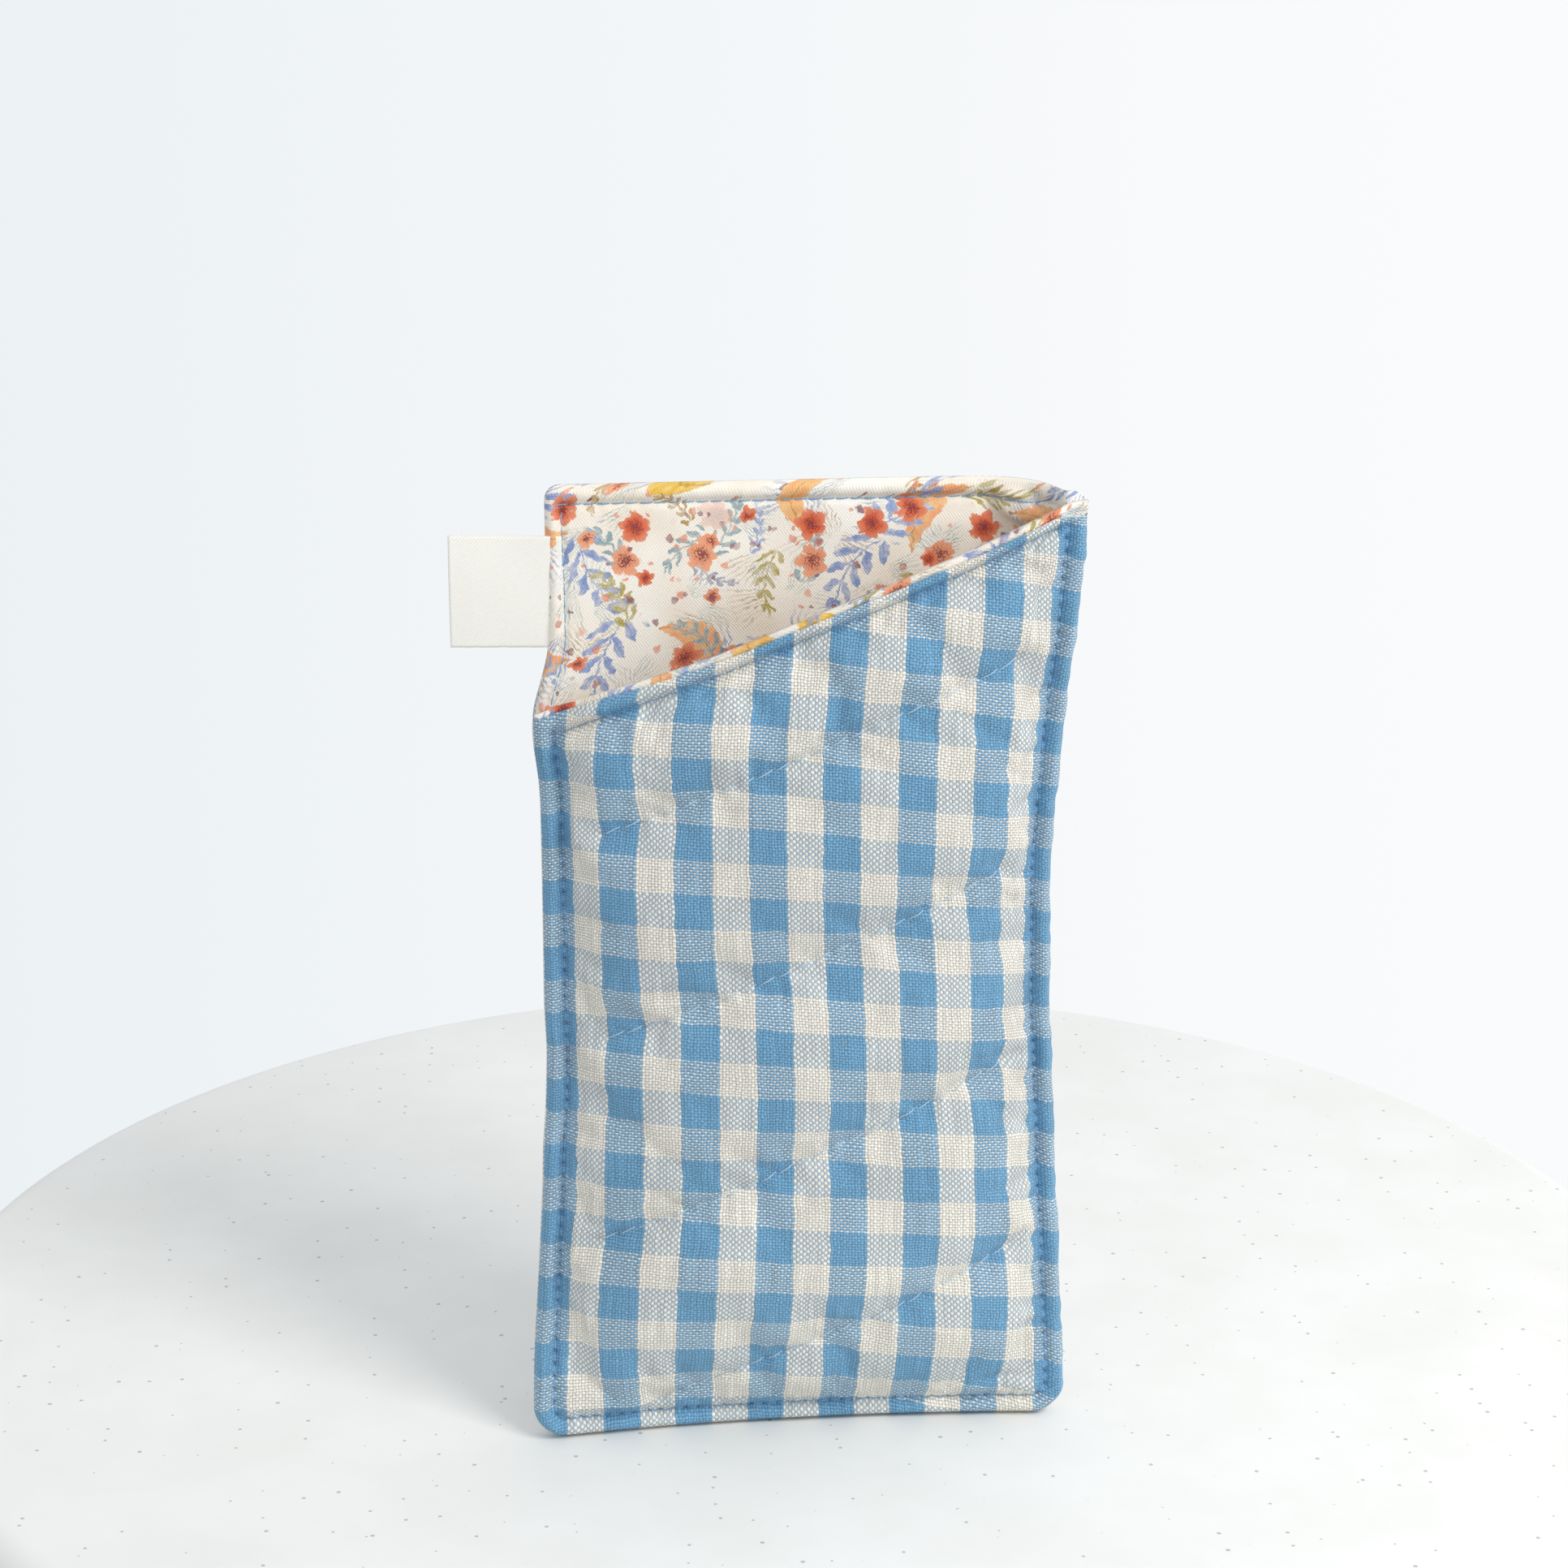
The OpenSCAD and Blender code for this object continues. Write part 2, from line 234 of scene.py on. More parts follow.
outer_t, lining_t, wadding_t, pinched_t, edge_wadding_t = 0.6, 0.4, 3.0, 0.4, 1.6
layer_gaps, pinch_reach, pinch_round = 0.2, 2.3, 0.28
edge_roll = 1.7
rim_h = 0.9
check_repeat = 12.1


def full_thickness(d):
    """Thickness of a wall at a distance from its edge: full, pinched at the stitches, round outside."""
    outside = lerp(pinched_t, edge_wadding_t,
                   np.sin(np.pi * (d + 0.15 * edge_stitch) / (1.15 * edge_stitch)))
    inside = wadding_t + (pinched_t - wadding_t) * np.exp((edge_stitch - d) / pinch_reach)
    above_pinch = np.where(d < edge_stitch, outside, inside) - pinched_t
    return lining_t + outer_t + layer_gaps + pinched_t + np.hypot(above_pinch, pinch_round)


def rolled(t):
    """Rise of a rounded edge, from 0 at the very edge to 1 where it is flat."""
    return np.sqrt(1 - (1 - np.clip(t, 0, 1)) ** 2)


def edge_marks(fine_to, fine):
    """Distances from an edge for a grid: close in the roll of the edge, then in even steps."""
    roll = edge_roll * (1 - np.sin(np.radians([90, 74, 58, 42, 26, 12])))
    return np.concatenate([roll, np.arange(edge_roll, fine_to, fine)])


def wall_grid(side, marks, step, drop):
    """x and z of a grid over a wall: close rows and columns near the edges, wider ones in the middle."""
    half = marks[-1]
    between = np.linspace(0, 1, int((case_w - 2 * half) / step) + 2)[1:-1]
    up_middle = np.linspace(0, 1, int((case_h - 2 * half) / step) + 2)[1:-1]

    def columns(z):
        left, right = left_side(z) + side_cut(side, z), right_side(z) - side_cut(side, z)
        return np.concatenate([
            left[None] + marks[:, None], lerp(left + half, right - half, between[:, None]),
            right[None] - marks[::-1, None]])

    middle_x = columns(np.array([case_h / 2.0]))[:, 0]
    top = top_z(side, middle_x) - drop
    z = np.concatenate([
        marks[:, None] + 0 * top, lerp(half, top - half, up_middle[:, None]), top - marks[::-1, None]])
    diagonal = np.arange(len(middle_x))
    x = np.stack([columns(row)[diagonal, diagonal] for row in z])
    return x, z


def cloth_relief(side, x, z, sewn, below):
    """Puckers, quilting and dimples of the outer cloth, off the smooth wall."""
    body = smooth((sewn - edge_stitch) / 2.2)
    along = np.where(z < beside_edge(x, z), x, z)
    lumps = 0.45 * wander(x, z, 19, 3 + side) + 0.2 * wander(x, z, 8, 5 + side)
    lumps = lumps + 0.06 * wander(x, z, 2.6, 9 + side)
    pucker = 0.28 * wander(along, side, 4.6, 7) * np.exp(-np.maximum(sewn - edge_stitch, 0) / 5)
    flange = (0.16 * wander(along, sewn * 0.5, 5, 11 + side) + 0.07 * wander(along, sewn, 1.7,
                            13)) * (1 - body)
    out = body * (lumps + pucker) + flange * smooth(sewn / 1.2)
    for k, holes in quilt_holes[side].items():
        away = z - quilt_first - k * quilt_pitch - quilt_slope * (x + case_w / 2)
        away = away / math.hypot(1, quilt_slope)
        ends = smooth((x - holes[0][0] + 5) / 5) * smooth((holes[-1][0] + 5 - x) / 5)
        ripple = 1 + 0.45 * wander(x * 1.3, k, 4, 17 + side)
        out -= ends * (0.42 * ripple * hump(away, 1.3) + 0.45 * hump(away, 5.0))
        out -= 0.38 * near_holes(x, z, holes, 0.8)
        out += ends * 0.12 * wander(x, z, 3.1, 19 + k) * hump(away, 5.0)
    out -= 0.35 * near_holes(x, z, edge_holes[side], 1.0) + 0.5 * near_holes(x, z, edge_holes[side], 0.5)
    if side == FRONT:
        hem = mouth_stitch - rim_h
        out -= (0.75 + 0.2 * wander(x, 0, 3, 21)) * hump(below - hem, 0.62) * body
        out -= 0.3 * near_holes(x, z, mouth_holes, 0.75)
        out += 0.38 * hump(below - 0.5 * hem, 1.2) * body
    else:
        out -= 0.5 * hump(below - 3.4, 0.9) * body
    return out


def mouth_open(z):
    """How far the left edge of the back wall is free of the front wall, from 0 to 1."""
    return smooth((z - mouth_low - 0.2) / 2.0)


def shoulder_tuck(x, z):
    """How far the back wall's left edge is tucked in just above the front wall's low corner."""
    return 0.45 * hump(z - 131, 4) * smooth((8 - x - case_w / 2) / 4)


def gingham_lift(side, x, z, sewn, below):
    """Height of the gingham's face off the wall's inner face, with its turned edges."""
    nearest = edge_distance(side, x, z, sewn, below)
    full = full_thickness(nearest)
    if side == FRONT:
        return full * rolled(sewn / edge_roll) * lerp(0.86, 1, rolled(below / 0.7))
    free = np.where(below < sewn, 1.0, np.where(x < 0, mouth_open(z), 0.0))
    half = 1.3
    return lerp(full * rolled(nearest / edge_roll), half + (full - half) * rolled(nearest / half), free)


def cloth_map(side, x, z, sewn):
    """Where a point of the wall lies on the flat gingham, in mm along the weft and the warp.

    The yarns run more evenly than the edges do, so they follow a plainer line of each side.
    """
    plain_left = 4.1 * smooth(z / left_waist_z) - 0.9 * hump(z - shoulder_z, 9) - case_w / 2
    flare = right_flare * smooth((z - right_waist_z) / (case_h - right_waist_z))
    plain_right = case_w / 2 - right_draw * smooth(z / right_waist_z) + flare
    share = (x - plain_left) / (plain_right - plain_left)
    turned = np.clip(1 - sewn / edge_roll, 0, 1)
    over = edge_roll * (np.arcsin(turned) - turned)
    by_base = z < beside_edge(x, z)
    u = -0.723 + 7.413 * share
    v = -0.70 + 0.0072 * x + 0.0797 * z + 0.000025 * z**2 + 0.00015 * x**2
    if side == BACK:
        u, v = 3.1 - 7.35 * share, 0.37 + 0.083 * z - 0.004 * x
    return (u * check_repeat + np.where(by_base, 0, np.sign(x) * over) + 0.35 * wander(x, z, 37, 23 + side),
            v * check_repeat - np.where(by_base, over, 0) + 0.35 * wander(x, z, 31, 29 + side))


def make_piece(name, vertices, faces):
    """A piece with a smooth mesh, in the scene."""
    mesh = bpy.data.meshes.new(name)
    mesh.from_pydata(vertices, [], faces)
    mesh.polygons.foreach_set("use_smooth", [True] * len(mesh.polygons))
    piece = bpy.data.objects.new(name, mesh)
    bpy.context.scene.collection.objects.link(piece)
    return piece


def cloth_mesh(name, points, flat_map):
    """A sheet of quads from a grid of points, with its place on the flat cloth as a UV map in mm."""
    rows, columns = points.shape[:2]
    index = np.arange(rows * columns).reshape(rows, columns)
    quads = np.stack([index[:-1, :-1], index[:-1, 1:], index[1:, 1:], index[1:, :-1]], -1).reshape(-1, 4)
    piece = make_piece(name, points.reshape(-1, 3).tolist(), quads.tolist())
    layer = piece.data.uv_layers.new(name="cloth_mm")
    flat = np.stack(flat_map, -1).reshape(-1, 2)
    layer.data.foreach_set("uv", flat[quads.reshape(-1)].astype(np.float32).reshape(-1))
    return piece


def thinned(gaps, least):
    """Picks grid lines that are at least a given distance apart."""
    keep, run = [0], 0.0
    for k, gap in enumerate(gaps, 1):
        run += gap
        if run >= least or k == len(gaps):
            keep.append(k)
            run = 0.0
    return np.array(keep)


def puffed(points, held, pressure, cap):
    """Lets a grid of cloth puff up between its held points, and returns how far each point moved."""
    middle = points.shape[0] // 2, points.shape[1] // 2
    rows = thinned(np.linalg.norm(np.diff(points[:, middle[1]], axis=0), axis=-1), 0.0017)
    columns = thinned(np.linalg.norm(np.diff(points[middle[0]], axis=0), axis=-1), 0.0017)
    start = points[np.ix_(rows, columns)]
    grip = held[np.ix_(rows, columns)]
    scale = 10.0
    piece = cloth_mesh("puffing_cloth", start * scale, (start[..., 0], start[..., 2]))
    pins = piece.vertex_groups.new(name="sewn")
    for k, value in enumerate(grip.reshape(-1)):
        if value > 0.02:
            pins.add([k], float(min(1, value)), "REPLACE")
    cloth = piece.modifiers.new("puff", "CLOTH")
    fabric = cloth.settings
    fabric.quality = 6
    fabric.mass = 0.3
    fabric.tension_stiffness = fabric.compression_stiffness = 12
    fabric.shear_stiffness = 4
    fabric.bending_stiffness = 0.6
    fabric.shrink_min = -0.035
    fabric.use_pressure = True
    fabric.uniform_pressure_force = pressure
    fabric.vertex_group_mass = "sewn"
    fabric.effector_weights.gravity = 0
    cloth.collision_settings.use_collision = False
    cloth.point_cache.frame_start, cloth.point_cache.frame_end = 1, 20
    for k in range(1, 21):
        bpy.context.scene.frame_set(k)
    settled = piece.evaluated_get(bpy.context.evaluated_depsgraph_get()).data
    moved = np.empty(len(settled.vertices) * 3)
    settled.vertices.foreach_get("co", moved)
    shift = moved.reshape(start.shape) / scale - start
    bpy.data.objects.remove(piece)
    bpy.context.scene.frame_set(1)
    length = np.linalg.norm(shift, axis=-1, keepdims=True)
    shift *= cap * np.tanh(length / cap) / np.maximum(length, 1e-9)
    all_rows, all_columns = np.arange(points.shape[0]), np.arange(points.shape[1])
    wide = np.stack([np.stack([np.interp(all_columns, columns, row[:, k]) for k in range(3)],
                            -1) for row in shift])
    return np.stack([
        np.stack([np.interp(all_rows, rows, wide[:, c, k]) for k in range(3)], -1)
        for c in all_columns], axis=1)


fine_step, cloth_step = 0.36, 0.7
gingham_marks = edge_marks(12.0, fine_step)
sim_slack, sim_pressure, sim_cap = 1.1, 2.2, 0.0022
corner_drop, stitched_hem = 2.1, 3.6
gingham, wadding_room = {}, {}
for side, name in ((FRONT, "front_gingham"), (BACK, "back_gingham")):
    drop = rim_h if side == FRONT else 0.0
    x, z = wall_grid(side, gingham_marks, cloth_step, drop)
    sewn, below = sewn_distance(x, z), np.maximum(top_z(side, x) - drop - z, 0)
    if side == FRONT:
        # At the high corner the lining is turned further over, in a small round puff.
        z = z - corner_drop * smooth((x - 40) / 7) * smooth((z - 150) / 20)
    body = smooth((sewn - edge_stitch) / 5) * smooth((below - stitched_hem) / 5)
    lift = gingham_lift(side, x, z, sewn, below) - sim_slack * body
    lift = lift + cloth_relief(side, x, z, sewn, below) * smooth(sewn / 1.2) * smooth(below / 0.8)
    if side == BACK:
        # The very edge turns in to meet the lining where the front wall ends.
        x = x + shoulder_tuck(x, z) * (sewn < 0.05)
    points = wall_point(side, x, z, lift)
    held = np.maximum(hump(np.maximum(sewn - edge_stitch - 1, 0), 1.2),
                      hump(np.maximum(below - stitched_hem, 0), 1.0))
    for holes in quilt_holes[side].values():
        held = np.maximum(held, near_holes(x, z, holes, 1.3))
    # A front sheet runs left to right and a back one right to left, so that both face outwards.
    turn = slice(None) if side == FRONT else slice(None, None, -1)
    shift = puffed(points[:, turn], held[:, turn], sim_pressure, sim_cap)[:, turn]
    points = points + shift
    # The cloth turns in at its open edge: one more row lies inside the seam.
    flat_u, flat_v = cloth_map(side, x, z, sewn)
    tuck = wall_point(side, x[-1], z[-1] - 0.5, 0 * x[-1] + 0.3)
    points = np.concatenate([points, tuck[None]])
    flat_u = np.concatenate([flat_u, flat_u[-1:]])
    flat_v = np.concatenate([flat_v, flat_v[-1:] + 1.5])
    gingham[side] = cloth_mesh(name, points[:, turn], (flat_u[:, turn], flat_v[:, turn]))
    wadding_room[side] = (x, z, lift, shift)
    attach(gingham[side], "case")
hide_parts("front_outer")
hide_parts("back_outer")


def srgb(code):
    """An sRGB hex colour as linear RGBA."""
    parts = [int(code[k:k + 2], 16) / 255 for k in (1, 3, 5)]
    return [c / 12.92 if c <= 0.04045 else ((c + 0.055) / 1.055) ** 2.4 for c in parts] + [1.0]


def node_adder(tree):
    """The function that adds a node to a tree, such as add("Math SINE", angle), and gives an output."""
    def add(kind, *inputs, out=0, **settings):
        kind, *operation = kind.split()
        node = tree.nodes.new("ShaderNode" + kind)
        for key, value in [("operation", name) for name in operation] + list(settings.items()):
            setattr(node, key, value)
        for socket, value in zip(node.inputs, inputs):
            if isinstance(value, bpy.types.NodeSocket):
                tree.links.new(value, socket)
            elif value is not None:
                socket.default_value = value
        return node.outputs[out]
    return add


def start_material(name, roughness, sheen):
    """A bare fabric shader: a rough, non-shiny surface with a soft bloom of fibre ends."""
    material = bpy.data.materials.new(name)
    material.use_nodes = True
    tree = material.node_tree
    shader = tree.nodes["Principled BSDF"]
    shader.inputs["Roughness"].default_value = roughness
    shader.inputs["Specular IOR Level"].default_value = 0.25
    shader.inputs["Sheen Weight"].default_value = sheen
    shader.inputs["Sheen Roughness"].default_value = 0.5
    return material, tree, shader, node_adder(tree)


# Plain weave of dyed yarns, drawn 12 to a check, a little coarser than life so that they show. The
# warp stands proud and shows as upright dashes, and the weft as short level ones between them. Slubs
# thicken a yarn and shift its shade here and there.
yarn_pitch = check_repeat / 24
yarns_a_check = 12.0
material, tree, shader, add = start_material("yarn_dyed_cotton_gingham", 0.92, 0.12)
place = add("UVMap", uv_map="cloth_mm")
drift = add("TexNoise", place, None, 0.35, 2.0, 0.5, noise_dimensions="2D", out=1)
drift = add("VectorMath SUBTRACT", drift, (0.5, 0.5, 0.5))
place_w = add("VectorMath MULTIPLY_ADD", drift, (0.6, 0.6, 0), place)
in_yarns = add("VectorMath MULTIPLY", place_w, (1 / yarn_pitch, 1 / yarn_pitch, 0))
split = add("SeparateXYZ", in_yarns).node
# Slubs run along a yarn: one noise stretched along the warp, one along the weft.
slub = {}
for run, squeeze in (("warp", (0.9, 0.05, 0)), ("weft", (0.05, 0.9, 0))):
    stretched = add("VectorMath MULTIPLY", in_yarns, squeeze)
    slub[run] = add("TexNoise", stretched, None, 1.0, 1.0, 0.5, noise_dimensions="2D")
height, own_height, dye = {}, {}, {}
for run, own, cross, bias, narrow, phase, blue, cream in (
        ("warp", 0, 1, 0.7, 4.1, 1.0, "#75ABD0", "#F6F1E6"),
        ("weft", 1, 0, 0.0, 5.2, -1.0, "#76A8CB", "#EBE8DF")):
    number = add("Math FLOOR", split.outputs[own])
    aside = add("Math SUBTRACT", add("Math FRACT", split.outputs[own]), 0.5)
    parity = add("Math FLOORED_MODULO", number, 2.0)
    parity = add("Math MULTIPLY_ADD", parity, -2.0, 1.0)
    wave = add("Math MULTIPLY", split.outputs[cross], phase * math.pi)
    over = add("Math MULTIPLY", add("Math SINE", wave), parity)
    thin = add("MapRange", slub[run], 0.25, 0.75, -narrow * 1.3, -narrow * 0.88)
    section = add("Math MULTIPLY_ADD", add("Math MULTIPLY", aside, aside), thin, 1.0)
    section = add("Math SQRT", add("Math MAXIMUM", section, 0.0))
    crimp = add("Math MULTIPLY_ADD", over, 0.5, bias)
    height[run] = add("Math MULTIPLY_ADD", section, 0.55, crimp)
    own_height[run] = add("Math SUBTRACT", height[run], bias)
    in_check = add("Math FLOORED_MODULO", add("Math ADD", number, yarns_a_check / 2), 2 * yarns_a_check)
    is_cream = add("Math LESS_THAN", in_check, yarns_a_check)
    dye[run] = add("MixRGB", is_cream, srgb(blue), srgb(cream))
top_height = add("Math MAXIMUM", height["warp"], height["weft"])
is_warp = add("Math GREATER_THAN", height["warp"], height["weft"])
yarn = add("MixRGB", is_warp, dye["weft"], dye["warp"])
# Light bleeds from yarn to yarn through the loose fibres, which softens the contrast of the two dyes.
both = add("MixRGB", 0.62, dye["weft"], dye["warp"])
yarn = add("MixRGB", 0.36, yarn, both)
shade = add("MapRange", add("MixRGB", is_warp, slub["weft"], slub["warp"]), 0.2, 0.8, 0.86, 1.12)
# Painted shade: each yarn is darker towards its edges, where it dips under its neighbours, and lighter on
# its crown; this is multiplied in with the slub tone and the random blotches.
own = add("MixRGB", is_warp, own_height["weft"], own_height["warp"])
painted_yarn_edge_shade = add("MapRange", own, 0.2, 1.0, 0.62, 1.1)
blotch = add("TexNoise", place, None, 0.06, 3.0, 0.5, noise_dimensions="2D")
blotch = add("MapRange", blotch, 0.3, 0.7, 0.95, 1.05)
shade = add("Math MULTIPLY", add("Math MULTIPLY", shade, painted_yarn_edge_shade), blotch)
dyed = add("VectorMath MULTIPLY", yarn, add("CombineXYZ", shade, shade, shade))
# Loose fibre ends: pale flecks a fraction of a millimetre long, mostly seen on the blue.
fleck = add("TexNoise", place, None, 2.6, 2.0, 0.75, noise_dimensions="2D")
fleck = add("MapRange", fleck, 0.64, 0.74, 0.0, 0.45)
dyed = add("MixRGB", fleck, dyed, srgb("#DCE6EE"))
# Neps: here and there a brown speck of seed husk spun into a yarn.
nep = add("TexNoise", place, None, 0.9, 1.0, 0.5, noise_dimensions="2D")
nep = add("MapRange", nep, 0.79, 0.83, 0.0, 0.4)
tree.links.new(add("MixRGB", nep, dyed, srgb("#B7A489")), shader.inputs["Base Color"])
tree.links.new(add("Bump", 0.8, 0.00022, None, top_height), shader.inputs["Normal"])
for piece in gingham.values():
    piece.data.materials.append(material)


# ------------------------------
# Wadding
# A 3 mm layer of white cotton wadding behind each gingham panel. It is cut to the wall, pinched
# flat under every row of stitches, and stops at the fold of the turned edges.
# ------------------------------
material, tree, shader, add = start_material("needled_cotton_wadding", 0.97, 0.3)
lumps_a_metre = 900.0
lump = add("TexNoise", add("TexCoord", out=3), None, lumps_a_metre, 4.0, 0.6)
tree.links.new(add("MixRGB", lump, srgb("#E9E5DA"), srgb("#FAF8F2")), shader.inputs["Base Color"])
tree.links.new(add("Bump", 0.5, 0.0004, None, lump), shader.inputs["Normal"])
# Of the gingham's grid it takes every fourth line, starting where the turned edge has ended.
first_line, line_step = 13, 4
for side, name, node, area in ((FRONT, "front_wadding_sheet", "front_wadding", 0.0128),
                               (BACK, "back_wadding_sheet", "back_wadding", 0.0150)):
    x, z, lift, shift = wadding_room[side]
    lowest = lift
    for k in (2, 4, 6):
        lowest = np.minimum.reduce([
            lowest, np.roll(lift, k, 0), np.roll(lift, -k, 0), np.roll(lift, k, 1), np.roll(lift, -k, 1)])
    face_lift = np.maximum(lowest - np.clip(0.27 * lowest, 0.33, 1.0), 0.5)
    keep = np.ix_(*(np.arange(first_line, count - first_line, line_step) for count in x.shape))
    inner_lift = np.minimum(face_lift - 0.15, 1.0)
    inner_face = wall_point(side, x, z, inner_lift)[keep]
    outer_face = (wall_point(side, x, z, face_lift) + shift)[keep]
    rows, columns = outer_face.shape[:2]
    index = np.arange(rows * columns).reshape(rows, columns)
    quads = np.stack([index[:-1, :-1], index[:-1, 1:], index[1:, 1:], index[1:, :-1]], -1).reshape(-1, 4)
    rim = np.concatenate([index[0], index[1:, -1], index[-1, -2::-1], index[-2:0:-1, 0]])
    around = np.roll(rim, -1)
    walls = np.stack([around, rim, rim + index.size, around + index.size], -1)
    faces = np.concatenate([quads[:, ::-1], quads + index.size, walls])
    faces = faces if side == FRONT else faces[:, ::-1]
    corners = np.concatenate([inner_face.reshape(-1, 3), outer_face.reshape(-1, 3)])
    piece = make_piece(name, corners.tolist(), faces.tolist())
    piece.data.materials.append(material)
    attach(piece, "case")
    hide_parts(node)


# ------------------------------
# Printed lining
# Fine plain-woven cotton with a loose watercolour print of blossoms, leaf sprigs and berries. The
# front panel rolls over the mouth as a narrow rim, and the back one over the open top and side.
# ------------------------------
rim_roll, band_roll = 0.8, 1.3
top_band, side_band = 3.3, 2.8
rim_corner_drop = 0.9
pleat_x, pleat_z = 37.6, 165.6
lining_marks = edge_marks(11.0, fine_step)


def banded(distance, band, along, seed):
    """A rolled edge: a puffy band, the crease of its stitches and fine puckers across it."""
    pucker = wander(along, 0, 1.5, seed) + 0.7 * wander(along, 0, 3.4, seed + 1)
    crease = 0.4 * hump(distance - band, 0.5) + 0.3 * hump(distance - band, 3.0)
    puffy = -0.5 * np.sin(np.pi * np.clip(distance / band, 0, 1)) ** 1.5
    return crease + puffy + 0.2 * pucker * hump(distance - band + 0.6, 2.0)


# The edge topstitch goes through all the layers, and shows on the lining as a second row.
band_x = np.linspace(-case_w / 2 + 7.6, 40, 60)
band_z = np.linspace(mouth_low + 3, case_h - top_band - 1.2, 30)
band_rows = [spaced_along(np.stack([left_side(band_z) + side_band, band_z], -1), stitch_l),
             spaced_along(np.stack([band_x, 0 * band_x + case_h - top_band], -1), stitch_l)]
lining = {}
for side, name, node in ((FRONT, "front_printed_lining", "front_lining"),
                         (BACK, "back_printed_lining", "back_lining")):
    x, z = wall_grid(side, lining_marks, cloth_step, 0.0)
    sewn, below = sewn_distance(x, z), np.maximum(top_z(side, x) - z, 0)
    if side == FRONT:
        z = z - rim_corner_drop * smooth((x - 43.5) / 4) * smooth((z - 150) / 20)
    free = np.where(below < sewn, 1.0, np.where(x < 0, mouth_open(z), 0.0)) if side == BACK else 0 * x
    corner = smooth((x - 40) / 5) * smooth((z - 160) / 6)
    covered = (1 - corner) if side == FRONT else np.where(x < 0, 1 - mouth_open(z + 1.8), 1 - corner)
    inset = np.where(below < sewn, 0, covered) * np.clip(1 - sewn / 3, 0, 1)
    inset = inset + (shoulder_tuck(x, z) if side == BACK else 0)
    by_base = z < beside_edge(x, z)
    x = x - np.where(by_base, 0, np.sign(x) * inset)
    z = z + np.where(by_base, inset, 0)
    soft = 0.5 * wander(x, z, 15, 41 + side) + 0.18 * wander(x, z, 6, 43 + side)
    soft = soft * smooth((sewn - 3) / 6) * smooth((below - 3) / 6)
    flat_u, flat_v = x + case_w / 2, z
    if side == BACK:
        beside = x - left_side(z)
        soft = soft + banded(below, top_band, x, 47) * smooth((sewn - 1) / 3)
        soft = soft + banded(beside, side_band, z, 51) * mouth_open(z) * smooth((below - 1) / 3)
        soft = soft + 0.3 * near_holes(x, z, np.concatenate(band_rows), 0.65)
        # Where the walls meet, the lining is crowded into a pleat that bulges over the stitches.
        pleat = np.hypot((x - pleat_x) / 4.6, (z - pleat_z) / 3.4 + (x - pleat_x) / 16)
        soft = soft - 2.3 * smooth(1.7 * (1 - pleat))
        soft = soft + 0.6 * hump(pleat - 1.15, 0.3) * smooth((below - 1.5) / 2)
        roll = band_roll * (1 - rolled(edge_distance(side, x, z, sewn, below) / band_roll))
        points = wall_point(side, x, z, free * roll + soft)
        steps = np.linalg.norm(np.diff(points, axis=1), axis=-1) * 1000
        flat_u = np.concatenate([0 * steps[:, :1], np.cumsum(steps, axis=1)], axis=1)
    else:
        over = np.array([0.08, 0.25, 0.5, 0.8, 1.1, 1.5, 2.0])[:,
                                None] * (1 + 0.7 * smooth((x[-1] - 41) / 5))
        round_off = rolled(beside_edge(x[-1], z[-1]) / 1.4)
        over_lift = rim_roll * (1 + round_off * rolled(over / rim_roll)) - 0.5 * smooth((over - 0.8) / 0.8)
        roll = rim_roll * (1 - rolled(below / rim_roll)) + soft
        points = wall_point(side, np.concatenate([x, x[-1] + 0 * over]), np.concatenate([z, z[-1] - over]),
                            np.concatenate([roll, over_lift]))
        flat_u = np.concatenate([x, x[-1] + 0 * over]) + 2.3 * case_w
        flat_v = np.concatenate([z, z[-1] + over + 1.2])
    turn = slice(None) if side == BACK else slice(None, None, -1)
    lining[side] = cloth_mesh(name, points[:, turn], (flat_u[:, turn], flat_v[:, turn]))
    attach(lining[side], "case")
    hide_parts(node)

# Printed quilting cotton: pigment inks on a fine off-white cloth, with soft bled edges and uneven
# washes of colour. Its weave is about four yarns to the millimetre.
material, tree, shader, add = start_material("printed_quilting_cotton", 0.88, 0.1)
place = add("UVMap", uv_map="cloth_mm")
bleed = add("TexNoise", place, None, 0.9, 3.0, 0.6, noise_dimensions="2D", out=1)
bleed = add("VectorMath SUBTRACT", bleed, (0.5, 0.5, 0.5))
bled = add("VectorMath MULTIPLY_ADD", bleed, (1.1, 1.1, 0), place)
wash = add("TexNoise", place, None, 0.45, 4.0, 0.65, noise_dimensions="2D")
speck = add("TexNoise", place, None, 3.0, 2.0, 0.7, noise_dimensions="2D")
tint = add("TexNoise", place, None, 0.07, 2.0, 0.5, noise_dimensions="2D")
ground = add("MixRGB", add("MapRange", tint, 0.35, 0.7), srgb("#FCF7EE"), srgb("#F6EBDA"))


def scattered(cell, shift, jitter):
    """Spots, one to a cell: the place about each, turned at random, and two of its dice."""
    moved = add("VectorMath MULTIPLY_ADD", bled, (1 / cell, 1 / cell, 0), (shift, shift * 0.7, 0))
    spots = add("TexVoronoi", moved, voronoi_dimensions="2D").node
    spots.inputs["Scale"].default_value = 1.0
    spots.inputs["Randomness"].default_value = jitter
    near = add("VectorMath SUBTRACT", moved, spots.outputs["Position"])
    dice = add("SeparateXYZ", spots.outputs["Color"]).node
    turned = add("VectorRotate", near, rotation_type="Z_AXIS").node
    tree.links.new(add("Math MULTIPLY", dice.outputs[0], 2 * math.pi), turned.inputs["Angle"])
    place_about = add("SeparateXYZ", turned.outputs[0]).node
    return place_about.outputs[0], place_about.outputs[1], dice.outputs[1], dice.outputs[2]


colour = ground
